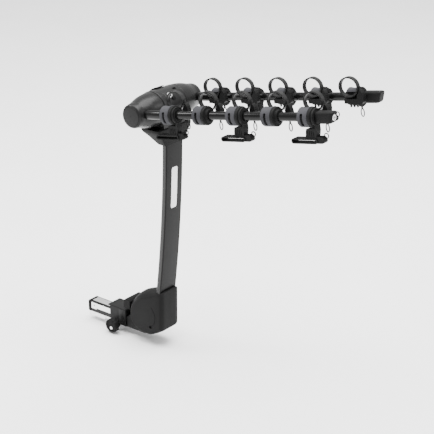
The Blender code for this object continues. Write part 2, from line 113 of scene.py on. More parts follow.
class Nodes:
    """A small helper to write a material's node tree in few lines."""

    def __init__(self, name):
        self.material = bpy.data.materials.new(name)
        self.material.use_nodes = True
        self.tree = self.material.node_tree
        self.shader = self.tree.nodes["Principled BSDF"]
        self.coords = self.tree.nodes.new("ShaderNodeTexCoord").outputs["Object"]

    def link(self, source, target):
        self.tree.links.new(source, target)

    def noise(self, scale, detail=3.0, stretch=(1.0, 1.0, 1.0)):
        mapping = self.tree.nodes.new("ShaderNodeMapping")
        mapping.inputs["Scale"].default_value = stretch
        self.link(self.coords, mapping.inputs["Vector"])
        noise = self.tree.nodes.new("ShaderNodeTexNoise")
        noise.inputs["Scale"].default_value = scale
        noise.inputs["Detail"].default_value = detail
        self.link(mapping.outputs["Vector"], noise.inputs["Vector"])
        return noise.outputs["Fac"]

    def ramp(self, source, low, high, start=0.3, end=0.7):
        ramp = self.tree.nodes.new("ShaderNodeValToRGB")
        ramp.color_ramp.elements[0].position = start
        ramp.color_ramp.elements[1].position = end
        ramp.color_ramp.elements[0].color = (*low, 1.0)
        ramp.color_ramp.elements[1].color = (*high, 1.0)
        self.link(source, ramp.inputs["Fac"])
        return ramp.outputs["Color"]

    def spread(self, source, low, high):
        spread = self.tree.nodes.new("ShaderNodeMapRange")
        spread.inputs["From Min"].default_value = 0.3
        spread.inputs["From Max"].default_value = 0.7
        spread.inputs["To Min"].default_value = low
        spread.inputs["To Max"].default_value = high
        self.link(source, spread.inputs["Value"])
        return spread.outputs["Result"]

    def bump(self, source, distance):
        bump = self.tree.nodes.new("ShaderNodeBump")
        bump.inputs["Distance"].default_value = distance
        bump.inputs["Strength"].default_value = 1.0
        self.link(source, bump.inputs["Height"])
        self.link(bump.outputs["Normal"], self.shader.inputs["Normal"])

    def finish(self, colours, roughness, grain, metallic=0.0, coat=0.0, stretch=(1, 1, 1), specular=0.5):
        """colours: (low, high); roughness: (low, high); grain: (noise scale, bump distance)."""
        large = self.noise(9.0, 4.0)
        fine = self.noise(grain[0], 2.0, stretch)
        self.link(self.ramp(large, *colours), self.shader.inputs["Base Color"])
        self.link(self.spread(fine, *roughness), self.shader.inputs["Roughness"])
        self.bump(fine, grain[1])
        self.shader.inputs["Metallic"].default_value = metallic
        self.shader.inputs["Coat Weight"].default_value = coat
        self.shader.inputs["Coat Roughness"].default_value = 0.12
        self.shader.inputs["Specular IOR Level"].default_value = specular
        return self.material


def grey(value, blue=0.0):
    return (value, value, value * (1.0 + blue))


def make_materials():
    return {
        "gloss_black": Nodes("gloss_powder_coat").finish(
            (grey(0.003), grey(0.005)), (0.14, 0.22), (900, 0.00002), specular=0.16),
        "mast_paint": Nodes("satin_powder_coat").finish(
            (grey(0.005), grey(0.008)), (0.28, 0.38), (1300, 0.00003), specular=0.08),
        "satin_black": Nodes("satin_steel_coat").finish(
            (grey(0.004), grey(0.008)), (0.36, 0.5), (1100, 0.00004), specular=0.12),
        "black_plastic": Nodes("moulded_black_plastic").finish(
            (grey(0.005), grey(0.008)), (0.5, 0.64), (1600, 0.00006), specular=0.08),
        "hub_plastic": Nodes("satin_hub_plastic").finish(
            (grey(0.008), grey(0.012)), (0.26, 0.36), (1500, 0.00003), specular=0.14),
        "grey_rubber": Nodes("grey_pad_rubber").finish(
            (grey(0.03, 0.1), grey(0.042, 0.1)), (0.6, 0.78), (1200, 0.00008), specular=0.1),
        "strap_rubber": Nodes("strap_rubber").finish(
            (grey(0.007), grey(0.012)), (0.36, 0.5), (900, 0.00005), specular=0.16),
        "cage_rubber": Nodes("cage_rubber").finish(
            (grey(0.004), grey(0.008)), (0.5, 0.65), (1100, 0.00006), specular=0.1),
        "silver_steel": Nodes("bright_plated_steel").finish(
            (grey(0.78), grey(0.9)), (0.24, 0.4), (240, 0.00002), metallic=1.0, stretch=(1, 12, 12)),
        "zinc_steel": Nodes("zinc_plated_steel").finish(
            (grey(0.5), grey(0.64)), (0.3, 0.45), (400, 0.00003), metallic=1.0),
        "lock_chrome": Nodes("lock_chrome").finish(
            (grey(0.8), grey(0.88)), (0.1, 0.2), (300, 0.00001), metallic=1.0),
        "keyway_black": Nodes("keyway_black").finish(
            (grey(0.002), grey(0.004)), (0.6, 0.8), (900, 0.00003), specular=0.1),
        "reflector_film": Nodes("reflector_film").finish(
            (grey(0.8), grey(0.88)), (0.25, 0.4), (700, 0.00004), coat=0.3),
    }


MATERIALS = make_materials()


# Mesh helpers -------------------------------------------------------------------------------------


def mesh_object(name, shape, material, smooth_angle=SMOOTH_ANGLE):
    bmesh.ops.remove_doubles(shape, verts=shape.verts, dist=WELD)
    bmesh.ops.recalc_face_normals(shape, faces=shape.faces)
    mesh = bpy.data.meshes.new(name)
    shape.to_mesh(mesh)
    shape.free()
    mesh.shade_smooth()
    mesh.set_sharp_from_angle(angle=math.radians(smooth_angle))
    mesh.materials.append(MATERIALS[material])
    piece = bpy.data.objects.new(name, mesh)
    bpy.context.scene.collection.objects.link(piece)
    return piece


def rings_shape(rings, closed_along=False):
    """A surface through equal rings of points, with both ends filled unless it closes on itself."""
    shape = bmesh.new()
    rows = [[shape.verts.new(p) for p in ring] for ring in rings]
    pairs = list(zip(rows, rows[1:]))
    if closed_along:
        pairs.append((rows[-1], rows[0]))
    for row, following in pairs:
        for i in range(len(row)):
            j = (i + 1) % len(row)
            shape.faces.new((row[i], row[j], following[j], following[i]))
    if not closed_along:
        shape.faces.new(rows[0])
        shape.faces.new(rows[-1])
    return shape


def prism_shape(outline, low, high):
    """Extrude an outline of (X, Z) along Y. Lengths are in millimetres."""
    return rings_shape([[Vector((u, w, v)) * MM for u, v in outline] for w in (low, high)])


def lathe_shape(profile, axis="Y", centre=(0, 0, 0), steps=96, wave=None):
    """Spin (along, radius) points, in millimetres, into a closed body. A wave adds to the radius."""
    rings = []
    for k in range(steps):
        angle = math.tau * k / steps
        ring = []
        for along, radius in profile:
            spread = radius + (wave(angle, along) if wave and radius > 1 else 0.0)
            side, up = spread * math.cos(angle), spread * math.sin(angle)
            point = (along, side, up) if axis == "X" else (side, along, up)
            ring.append((Vector(point) + Vector(centre)) * MM)
        rings.append(ring)
    return rings_shape(rings, closed_along=True)


def arc(centre, radius, start, end, steps):
    angles = [math.radians(start + (end - start) * i / steps) for i in range(steps + 1)]
    return [(centre[0] + radius * math.cos(a), centre[1] + radius * math.sin(a)) for a in angles]


def fillet(points, radius, steps=5, closed=True):
    """Round the corners of an outline or a profile."""
    result = []
    count = len(points)
    for i, corner in enumerate(points):
        if not closed and i in (0, count - 1):
            result.append(corner)
            continue
        here = Vector(corner)
        before, after = Vector(points[i - 1]) - here, Vector(points[(i + 1) % count]) - here
        reach = min(radius, 0.49 * before.length, 0.49 * after.length)
        back, ahead = here + before.normalized() * reach, here + after.normalized() * reach
        for k in range(steps + 1):
            f = k / steps
            result.append(tuple(back * (1 - f) ** 2 + here * 2 * f * (1 - f) + ahead * f ** 2))
    return result


def rectangle(low_u, low_v, high_u, high_v):
    return [(low_u, low_v), (high_u, low_v), (high_u, high_v), (low_u, high_v)]


def sweep_shape(path, section, closed=False):
    """Carry a section of (out, across) points along a path in the XZ plane. Across is +Y."""
    across = Vector((0, 1, 0))
    rings = []
    count = len(path)
    for i, point in enumerate(path):
        before = path[i - 1] if closed or i > 0 else path[i]
        after = path[(i + 1) % count] if closed or i < count - 1 else path[i]
        forward = (Vector(after) - Vector(before)).normalized()
        out = forward.cross(across).normalized()
        rings.append([Vector(point) + out * u + across * v for u, v in section])
    return rings_shape(rings, closed_along=closed)


def add_bevel(piece, width, segments=3, angle=35.0):
    modifier = piece.modifiers.new("Bevel", "BEVEL")
    modifier.width = width * MM
    modifier.segments = segments
    modifier.limit_method = "ANGLE"
    modifier.angle_limit = math.radians(angle)
    modifier.harden_normals = True
    return piece


def boolean(piece, tool, operation="DIFFERENCE"):
    """Apply an exact boolean to the piece's mesh and drop the tool."""
    modifier = piece.modifiers.new("Boolean", "BOOLEAN")
    modifier.operation = operation
    modifier.solver = "EXACT"
    modifier.object = tool
    depsgraph = bpy.context.evaluated_depsgraph_get()
    mesh = bpy.data.meshes.new_from_object(piece.evaluated_get(depsgraph))
    piece.modifiers.clear()
    piece.data = mesh
    bpy.data.objects.remove(tool, do_unlink=True)
    mesh.shade_smooth()
    mesh.set_sharp_from_angle(angle=math.radians(SMOOTH_ANGLE))
    return piece


def place(piece, matrix):
    """Move a piece from its building frame to the row frame, keeping its faces outward."""
    piece.data.transform(matrix)
    if matrix.determinant() < 0:
        piece.data.flip_normals()
    return piece


def settle(piece, body, slot, *nodes):
    """The piece rides on a body and stands for the CAD nodes named; the slot is not used."""
    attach(piece, body)
    if nodes:
        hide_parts(*nodes)
    return piece


def softened_copy(node, body, slot, width, segments=3):
    """A bevelled copy of a CAD node, with its real edges rounded."""
    piece = bpy.data.objects.new(f"{node}_detailed", NODES[node].data.copy())
    bpy.context.scene.collection.objects.link(piece)
    shape = bmesh.new()
    shape.from_mesh(piece.data)
    bmesh.ops.remove_doubles(shape, verts=shape.verts, dist=WELD)
    bmesh.ops.dissolve_limit(shape, angle_limit=math.radians(1.0), verts=shape.verts, edges=shape.edges)
    shape.to_mesh(piece.data)
    shape.free()
    piece.data.materials.clear()
    piece.data.materials.append(MATERIALS[slot])
    piece.data.shade_smooth()
    piece.data.set_sharp_from_angle(angle=math.radians(SMOOTH_ANGLE))
    add_bevel(piece, width, segments)
    return settle(piece, body, slot, node)


# Shank, stirrup and knob --------------------------------------------------------------------------


def make_shank():
    softened_copy("hitch_shank", "base", "gloss_black", 0.8)
    plug_low, plug_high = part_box("shank_end_plug")
    front, half = plug_low.x / MM, plug_high.z / MM
    outline = fillet([(front + 16.2, -half), (front, -half), (front, half), (front + 16.2, half)], 13, 8,
                     closed=False)
    plug = mesh_object("shank_end_plug_detailed", prism_shape(outline, -half, half), "black_plastic")
    add_bevel(plug, 1.8, 3)
    settle(plug, "base", "black_plastic", "shank_end_plug")
    softened_copy("shank_side_plate", "base", "silver_steel", 0.35, 2)
    softened_copy("shank_lower_channel", "base", "silver_steel", 0.5, 2)
    softened_copy("receiver_stirrup", "base", "satin_black", 1.1)
    softened_copy("base_fork", "base", "satin_black", 0.9)

    low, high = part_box("hitch_shank")
    outline = fillet(rectangle(low.x / MM + 4, -17.5, 182, 17.5), 3, 4)
    rings = [[Vector((x, y, z)) * MM for x, y in outline] for z in (high.z / MM - 0.4, high.z / MM + 0.5)]
    plate = mesh_object("shank_top_plate", rings_shape(rings), "silver_steel")
    settle(plate, "base", "silver_steel")


def make_knob():
    low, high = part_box("stirrup_knob")
    centre = ((low.x + high.x) / 2 / MM, 0, (low.z + high.z) / 2 / MM)
    face, back = low.y / MM, high.y / MM
    radius = (high.x - low.x) / 2 / MM

    def lobes(angle, along):
        grip = 1.0 if face + 2 < along < face + 24 else 0.0
        return -1.5 * grip * (0.5 - 0.5 * math.cos(10 * angle)) ** 2

    profile = [(back - 8, 0), (back - 8, 5), (back - 12, 5), (back - 12, 13), (back - 17, 13),
               (back - 18, radius - 5), (back - 22, radius), (face + 6, radius), (face + 2.5, radius - 1.5),
               (face + 0.6, radius - 5), (face + 0.6, radius - 9), (face + 3.2, radius - 10.5),
               (face + 3.2, 0)]
    grip = lathe_shape(profile, "Y", centre, 120, lobes)
    knob = mesh_object("stirrup_knob_detailed", grip, "black_plastic")
    settle(knob, "stirrup_knob", "black_plastic", "stirrup_knob")

    lock = (centre[0] + 3, 0, centre[2] - 7)
    barrel = [(face + 3.6, 0), (face + 3.6, 7), (face + 0.6, 7), (face - 0.2, 6), (face - 0.2, 3.4),
              (face + 0.8, 3.0), (face + 0.8, 0)]
    core = mesh_object("knob_lock_core", lathe_shape(barrel, "Y", lock, 48), "lock_chrome")
    settle(core, "stirrup_knob", "lock_chrome")
    outline = fillet(rectangle(lock[0] - 15, lock[2] - 1, lock[0] - 9.5, lock[2] + 7), 1.5)
    notch = mesh_object("knob_lock_cover", prism_shape(outline, face + 2.2, face + 3.4), "keyway_black")
    settle(notch, "stirrup_knob", "black_plastic")


def make_bolt(name, centre, direction, radius, height, body):
    """A hex flange bolt head that stands out along a unit direction. Sizes are in millimetres."""
    turn = Vector((1, 0, 0)).rotation_difference(Vector(direction)).to_matrix().to_4x4()
    flange = [(0, 0), (0, radius), (1.0, radius), (1.8, radius * 0.86), (1.8, 0)]
    washer = mesh_object(f"{name}_flange", lathe_shape(flange, "X", steps=40), "satin_black")
    head = [(1.7, 0), (1.7, radius * 0.78), (height - 0.8, radius * 0.78), (height, radius * 0.66),
            (height, 0)]
    hexagon = mesh_object(f"{name}_head", lathe_shape(head, "X", steps=6), "satin_black", 20)
    for piece in (washer, hexagon):
        place(piece, Matrix.Translation(Vector(centre)) @ turn)
        settle(piece, body, "zinc_steel")


# Housing, mast and levers -------------------------------------------------------------------------


def housing_outline(distance):
    """Side view of the lower housing, in millimetres, at a distance from its middle plane."""
    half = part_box("housing_far")[1].y / MM
    crown = HOUSING_CROWN * max(0.0, 1 - (distance / 50.0) ** 2)
    base = [(442, 193), (400, 177), (355, 158), (322, 143), (299, 128), (277, 106), (267, 86), (262, 55),
            (264, 32), (273, 14), (290, -3), (311, -16), (340, -21), (372, -20), (405, -4), (440, 18)]
    lift = {1: 0.3, 2: 0.9, 3: 1.0, 4: 0.9, 5: 0.7, 6: 0.4}
    points = []
    for i, (x, z) in enumerate(base):
        shift = crown * lift.get(i, 0.0)
        points.append((x - 0.5 * shift, z + 0.87 * shift))
    edge = max(0.0, (distance - 35.0) / (half - 35.0))
    depth = HOUSING_EDGE * (1 - math.sqrt(max(0.0, 1 - edge ** 2)))
    return fillet(inset(points, depth), 9, 3)


def inset(points, distance):
    """Move each edge of a counter-clockwise outline inwards."""
    result = []
    for i, corner in enumerate(points):
        here = Vector(corner)
        before = (here - Vector(points[i - 1])).normalized()
        after = (Vector(points[(i + 1) % len(points)]) - here).normalized()
        normal = Vector((-before.y - after.y, before.x + after.x)).normalized()
        slope = max(0.5, normal.dot(Vector((-before.y, before.x))))
        result.append(tuple(here + normal * distance / slope))
    return result


def make_housing():
    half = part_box("housing_far")[1].y / MM
    edge_steps = [half * 0.62 + half * 0.38 * math.sin(math.pi / 2 * k / 9) for k in range(10)]
    distances = [0.35, 9, 18, 27] + edge_steps
    for name, side in SIDES.items():
        rings = [[Vector((x, side * d, z)) * MM for x, z in housing_outline(d)] for d in distances]
        shell = mesh_object(f"housing_{name}_shell", rings_shape(rings), "black_plastic")
        low, high = sorted((-side * 5.0, side * (half - HOUSING_WALL)))
        tools = [
            prism_shape(inset(housing_outline(half), HOUSING_WALL - HOUSING_EDGE), low, high),
            prism_shape([(225, 46), (270, 46), (276, 80), (306, 118), (358, 147), (436, 183), (436, 30),
                         (404, -60), (225, -60)], -33, 33),
            prism_shape(rectangle(240, 62, 292, 98), -10.8, 10.8),
            mast_shape(-600, -870, 1.1, 12),
        ]
        outer = side * half
        groove = [(x * MM, outer * MM, z * MM) for x, z in arc((PIVOT.x / MM, PIVOT.z / MM), 56, 52, -48, 30)]
        tools.append(sweep_shape(groove, [(u * MM, v * MM) for u, v in arc((0, 0), 1.5, 0, 330, 11)]))
        tools.append(lathe_shape([(outer - 5 * side, 0), (outer - 5 * side, 7.5), (outer + 5 * side, 7.5),
                                  (outer + 5 * side, 0)], "Y", (381, 0, 23), 32))
        for tool in tools:
            boolean(shell, mesh_object("tool", tool, "black_plastic"))
        add_bevel(shell, 0.6, 2, 40)
        settle(shell, "mast", "black_plastic", f"housing_{name}")


def mast_rear(z):
    """X of the mast's rear face at a height: it bows away from the hub as it goes down."""
    return 57.0 - (z + 60.0) ** 2 / MAST_BEND


def mast_shape(top, bottom, margin=0.0, steps=40):
    """The flattened mast tube between two heights below the hub axis, in millimetres."""
    rings = []
    for k in range(steps + 1):
        z = bottom + (top - bottom) * k / steps
        rear_x = mast_rear(z)
        corners = [(0, -MAST_REAR_HALF), (0, MAST_REAR_HALF), (-MAST_DEPTH, MAST_FRONT_HALF),
                   (-MAST_DEPTH, -MAST_FRONT_HALF)]
        outline = fillet(inset(corners, -margin), 6, 6)
        rings.append([HUB + Vector((rear_x + x, y, z)) * MM for x, y in outline])
    return rings_shape(rings)


def make_mast():
    tube = mesh_object("mast_tube_detailed", mast_shape(MAST_TOP, MAST_BOTTOM), "mast_paint")
    settle(tube, "mast", "mast_paint", "mast_tube")
    rings = []
    for k in range(REFLECTOR_STEPS + 1):
        z = REFLECTOR_TOP - REFLECTOR_LENGTH * k / REFLECTOR_STEPS
        rear_x = mast_rear(z)
        end = min(k, REFLECTOR_STEPS - k) / REFLECTOR_STEPS * REFLECTOR_LENGTH
        half = 17 - 3 * max(0.0, 1 - end / 4) ** 2
        rings.append([HUB + Vector((rear_x + x, y, z)) * MM for x, y in
                      ((-0.3, -half), (0.35, -half + 0.3), (0.35, half - 0.3), (-0.3, half))])
    strip = mesh_object("rear_reflector", rings_shape(rings), "reflector_film")
    settle(strip, "mast", "mast_paint")


def make_levers():
    softened_copy("tilt_release_lever", "tilt_release_lever", "black_plastic", 3.0, 4)
    hinge = Vector(JOINTS["fold_lever_pull"]["pos_m"]) - HUB
    start = math.degrees(math.atan2(hinge.z, hinge.x))
    inner, outer = 71.3, 74.6
    outline = arc((0, 0), inner, 100, start - 2, 20) + arc((0, 0), outer, start - 2, 100, 20)
    lever = mesh_object("fold_release_lever_detailed", prism_shape(outline, -22, 22), "hub_plastic")
    add_bevel(lever, 2.2, 4)
    place(lever, HUB_FRAME)
    settle(lever, "fold_release_lever", "black_plastic", "fold_release_lever")


# Hub ----------------------------------------------------------------------------------------------


def make_hub():
    profile = fillet([(-DRUM_HALF, SHAFT_BORE), (-DRUM_HALF, 68), (-61.5, 69.8), (-36, 69.8), (-35, 68.6),
                      (-33, DRUM_RADIUS), (61.5, DRUM_RADIUS), (DRUM_HALF, 67), (DRUM_HALF, SHAFT_BORE)],
                     0.8, 3)
    drum = mesh_object("hub_drum_detailed", lathe_shape(profile), "hub_plastic")
    foot = mesh_object("tool", prism_shape(rectangle(-33, -71.7, 56, -45), -62, 62), "hub_plastic")
    boolean(drum, foot, "UNION")
    slot = prism_shape(rectangle(19, 60, 29, 80), 29, 46)
    boolean(drum, mesh_object("tool", slot, "hub_plastic"))
    add_bevel(drum, 0.5, 2)
    place(drum, HUB_FRAME)
    settle(drum, "mast", "hub_plastic", "hub_drum")

    angle = math.radians(50)
    spot = HUB + Vector((68.4 * math.cos(angle), -12, 68.4 * math.sin(angle))) * MM
    turn = Matrix.Translation(spot) @ Matrix.Rotation(-angle, 4, "Y")
    ring = [(0, 7.5), (1.6, 7.2), (3.2, 8.2), (3.2, 10.6), (1.6, 12), (0, 12)]
    bezel = mesh_object("hub_lock_bezel", lathe_shape(ring, "X", steps=48), "lock_chrome")
    barrel = [(-1, 0), (-1, 7.3), (1.1, 7.3), (1.1, 0)]
    core = mesh_object("hub_lock_barrel", lathe_shape(barrel, "X", steps=40), "keyway_black")
    flap = [(0.5, -24), (3.6, -20), (3.6, -9), (0.5, -9)]
    cover = rings_shape([[Vector((x, y * 0.95, z)) * MM for x, z in flap] for y in (1, 17)])
    cover = mesh_object("hub_lock_cover", cover, "keyway_black")
    for piece, slot_name in ((bezel, "lock_chrome"), (core, "black_plastic"), (cover, "black_plastic")):
        place(piece, turn)
        settle(piece, "mast", slot_name)


def make_cone(name, side):
    profile = [(64.4, SHAFT_BORE), (64.4, 66), (66, 68), (80, 67.3), (96, 65.6), (112, 63), (128, 59),
               (142, 54.6), (158, 50), (170, 48.4), (182, 46), (186, 41.5), (186, 39.6), (181.5, 39.6),
               (181.5, SHAFT_BORE)]
    points = fillet([(side * a, r) for a, r in profile], 2.5, 4)
    cone = mesh_object(f"hub_cone_{name}_detailed", lathe_shape(points), "hub_plastic")
    centre = (0, side * ARM_Y / MM, 0)
    socket = lathe_shape([(21.7, 0), (21.7, ARM_SOCKET), (90, ARM_SOCKET), (90, 0)], "X", centre, 48)
    boolean(cone, mesh_object("tool", socket, "hub_plastic"))
    add_bevel(cone, 0.8, 2)
    place(cone, ARM_FRAME)
    settle(cone, "arms", "hub_plastic", f"hub_cone_{name}")

    profile = [(181.6, 0), (181.6, 39), (185.6, 39), (187.0, 37.8), (187.4, 34), (188.0, 14), (188.2, 0)]
    points = fillet([(side * a, r) for a, r in profile], 1.0, 4, closed=False)
    cap = mesh_object(f"hub_cap_{name}_detailed", lathe_shape(points), "hub_plastic")
    floor, rim = side * 187.4, side * 190
    dimple = lathe_shape([(floor, 0), (floor, 2.4), (rim, 2.4), (rim, 0)], steps=24)
    boolean(cap, mesh_object("tool", dimple, "hub_plastic"))
    place(cap, ARM_FRAME)
    settle(cap, "arms", "hub_plastic", f"hub_cap_{name}")


def make_yoke():
    levels = [(-140, 17, 62.5, 57), (-128, 7, 62.5, 65), (-105, -12, 62.5, 80), (-98, -18, 62.5, 86),
              (-88, -30, 62.5, 93), (-80, -33, 62.5, 97), (-72, -34, 62, 98)]
    rings = []
    for z, front, rear, half in levels:
        outline = fillet(rectangle(front, -half, rear, half), 10, 5)
        rings.append([HUB + Vector((x, y, z)) * MM for x, y in outline])
    yoke = mesh_object("hub_yoke_detailed", rings_shape(rings), "black_plastic", 25)
    boolean(yoke, mesh_object("tool", mast_shape(-76.5, -200, 0.4, 8), "black_plastic"))
    add_bevel(yoke, 1.6, 3, 25)
    settle(yoke, "mast", "black_plastic", "hub_yoke")


# Arms ---------------------------------------------------------------------------------------------


def make_arm(name, side):
    centre = (0, side * ARM_Y / MM, 0)
    profile = fillet([(22, ARM_BORE), (22, ARM_RADIUS), (57.5, ARM_RADIUS), (57.5, 18.5), (126, 18.5),
                      (129, ARM_RADIUS), (ARM_END, ARM_RADIUS), (ARM_END, ARM_BORE)], 1.2, 3)
    tube = mesh_object(f"arm_{name}_detailed", lathe_shape(profile, "X", centre, 64), "gloss_black")
    place(tube, ARM_FRAME)
    settle(tube, "arms", "gloss_black", f"arm_{name}")

    rings = []
    for along, shrink in ((834, 2.0), (835, 0.8), (837, 0.0), (850, 0.0), (870, 0.0), (890, 0.2), (895, 0.9),
                          (898.5, 2.4), (900, 4.6)):
        width, height = 19 - shrink, 21.5 - shrink
        outline = fillet(rectangle(-width, -height, width, height), 12 - shrink, 8)
        slant = 7.0 / 21.5 * min(1.0, max(0.0, (along - 850) / 40))
        rings.append([Vector((along + slant * z, centre[1] + y, z)) * MM for y, z in outline])
    cap = mesh_object(f"arm_cap_{name}_detailed", rings_shape(rings), "black_plastic")
    socket = lathe_shape([(820, 0), (820, ARM_SOCKET), (862.4, ARM_SOCKET), (862.4, 0)], "X", centre, 48)
    boolean(cap, mesh_object("tool", socket, "black_plastic"))
    if name == "near":
        keyway = lathe_shape([(887, 0), (887, 11.3), (930, 11.3), (930, 0)], "X", centre, 48)
        boolean(cap, mesh_object("tool", keyway, "black_plastic"))
    add_bevel(cap, 0.5, 2)
    place(cap, ARM_FRAME)
    settle(cap, "arms", "black_plastic", f"arm_cap_{name}")


def make_lock_core():
    centre = (0, -ARM_Y / MM, 0)
    profile = fillet([(887.3, 0), (887.3, LOCK_RADIUS), (900.5, LOCK_RADIUS), (901, 10.4), (901, 7),
                      (900.2, 6.6), (900.2, 0)],
                     0.4, 2, closed=False)
    core = mesh_object("arm_lock_core_detailed", lathe_shape(profile, "X", centre, 64), "lock_chrome")
    slot = rings_shape([[Vector((x, centre[1] + y, z)) * MM for y, z in rectangle(-1, -4.5, 1, 4.5)]
                        for x in (897, 903)])
    boolean(core, mesh_object("tool", slot, "lock_chrome"))
    place(core, ARM_FRAME)
    settle(core, "arm_lock_core", "lock_chrome", "arm_lock_core")


# Cradles, in a frame with X along the arm, Y towards the rack's middle and Z up, in millimetres ------

RING_CENTRE = (0.0, 45.0)
RING_REACH = (46.0, 42.5)
PAD_RADIUS = 35.5


def ring_outline(offset, start, end, steps):
    """The strap ring's oval, moved outwards by an offset."""
    return [(RING_CENTRE[0] + (RING_REACH[0] + offset) * u, RING_CENTRE[1] + (RING_REACH[1] + offset) * v)
            for u, v in arc((0, 0), 1, start, end, steps)]


def cradle_frame(number, side):
    along = Matrix.Translation((cradle_along(number), side * ARM_Y, 0))
    return ARM_FRAME @ along @ Matrix.Diagonal((1, -side, 1, 1))


def shape_cradle():
    """The black clamp body with its flange, buckle and screws."""
    profile = fillet([(-32, 16.4), (-32, 27), (-29, 30), (14.4, 30), (14.4, 34), (16, 35.6), (24.5, 35.6),
                      (26.6, 33),
                      (27, 24.3), (36, 24.3), (36, 16.4)], 1.2, 3)
    body = mesh_object("cradle_shape", lathe_shape(profile, "X", steps=64), "black_plastic")
    base = fillet(rectangle(-21, -14, 26.8, 2.6), 3, 3)
    boolean(body, mesh_object("tool", prism_shape(base, 22, 40), "black_plastic"), "UNION")
    buckle = [(-21, -14), (30, -17), (52, -15), (60, -6), (60, 10), (56, 26), (50, 36), (42, 36), (34, 30),
              (34, 2.6), (-21, 2.6)]
    buckle = mesh_object("tool", prism_shape(fillet(buckle, 3, 3), 31.5, 50.5), "black_plastic")
    boolean(body, buckle, "UNION")
    room = prism_shape(ring_outline(0.4, 0, 352.5, 47), 31.2, 60)
    boolean(body, mesh_object("tool", room, "black_plastic"))
    tail_way = prism_shape(rectangle(RING_REACH[0] - 4, -30, RING_REACH[0] + 0.4, 50), 35.6, 44.4)
    boolean(body, mesh_object("tool", tail_way, "black_plastic"))
    for along in (-22, -8, 6):
        boss = lathe_shape([(-36, 0), (-36, 4.2), (-27, 4.2), (-27, 0)], "Y", steps=6)
        boss.transform(Matrix.Translation((along * MM, 9 * MM, 0)) @ Matrix.Rotation(math.pi / 2, 4, "X"))
        boolean(body, mesh_object("tool", boss, "black_plastic"), "UNION")
    for k in range(6):
        z = -8 + 7 * k
        tooth = prism_shape(rectangle(57.5 - 0.05 * k * k, z, 63, z + 2.4), 33, 49)
        boolean(body, mesh_object("tool", tooth, "black_plastic"))
    return add_bevel(body, 0.7, 2, 40)


def shape_pad():
    """The grey saddle pad: a shell that dips on top and is split by a slot on the outer side."""
    rings = []
    section = fillet(rectangle(-27, 30.6, 14, PAD_RADIUS), 2.2, 4)
    dense = []
    for i, point in enumerate(section):
        following = Vector(section[(i + 1) % len(section)])
        here = Vector(point)
        count = max(1, round((following - here).length / 5))
        dense += [tuple(here.lerp(following, k / count)) for k in range(count)]
    for k in range(57):
        angle = math.radians(-48 + 218 * k / 56)
        top = max(0.0, math.cos(angle)) ** 3
        ring = []
        for along, radius in dense:
            middle = (along + 9) / 23
            share = (radius - 30.6) / (PAD_RADIUS - 30.6)
            spread = radius + share * top * (2.6 * (2 * middle ** 2 - 1) - 0.6)
            ring.append(Vector((along, -spread * math.sin(angle), spread * math.cos(angle))) * MM)
        rings.append(ring)
    pad = mesh_object("pad_shape", rings_shape(rings), "grey_rubber")
    slot = fillet([(-14, -26), (-2.5, -26), (-2.5, 18), (-14, 18)], 4.5, 5)
    boolean(pad, mesh_object("tool", prism_shape(slot, -60, -2), "grey_rubber"))
    return add_bevel(pad, 0.7, 2, 45)


def ribbon_section(thickness, half, rail=0.7, rail_width=3.2):
    """Section of a moulded strap with a raised rail along each edge, in metres."""
    points = [(0, -half + 0.6), (0, half - 0.6), (-0.6, half), (-thickness, half),
              (-thickness - rail, half - 0.6),
              (-thickness - rail, half - rail_width), (-thickness, half - rail_width - 0.8),
              (-thickness, -half + rail_width + 0.8), (-thickness - rail, -half + rail_width),
              (-thickness - rail, -half + 0.6), (-thickness, -half), (-0.6, -half)]
    return [(u * MM, v * MM) for u, v in points]


def shape_strap():
    """The closed strap loop, its tail and its wire pull."""
    middle = 40.5
    circle = ring_outline(-5.4, 0, 356, 89)
    path = [Vector((x, middle, z)) * MM for x, z in circle]
    section = [(-u, v) for u, v in ribbon_section(4.5, 9)]
    strap = mesh_object("strap_shape", sweep_shape(path, section, closed=True), "strap_rubber")
    edge = RING_CENTRE[0] + RING_REACH[0]
    tail_outline = fillet([(edge - 3, -36), (edge, -36), (edge, 46), (edge - 3, 46)], 0.6, 2)
    tail = mesh_object("tool", prism_shape(tail_outline, 36, 44), "strap_rubber")
    boolean(strap, tail, "UNION")
    for k in range(7):
        z = -30 + 5 * k
        tooth = prism_shape([(edge - 0.9, z), (edge + 1, z - 0.6), (edge + 1, z + 2.2)], 35, 45)
        boolean(strap, mesh_object("tool", tooth, "strap_rubber"))
    pull = [Vector((edge - 1.5 + 6.6 * math.cos(a), 40, -48 + 14 * math.sin(a))) * MM for a in
            [math.tau * k / 40 for k in range(40)]]
    wire = sweep_shape(pull, [(u * MM, v * MM) for u, v in arc((0, 0), 2.0, 0, 324, 9)], closed=True)
    boolean(strap, mesh_object("tool", wire, "strap_rubber"), "UNION")
    return strap


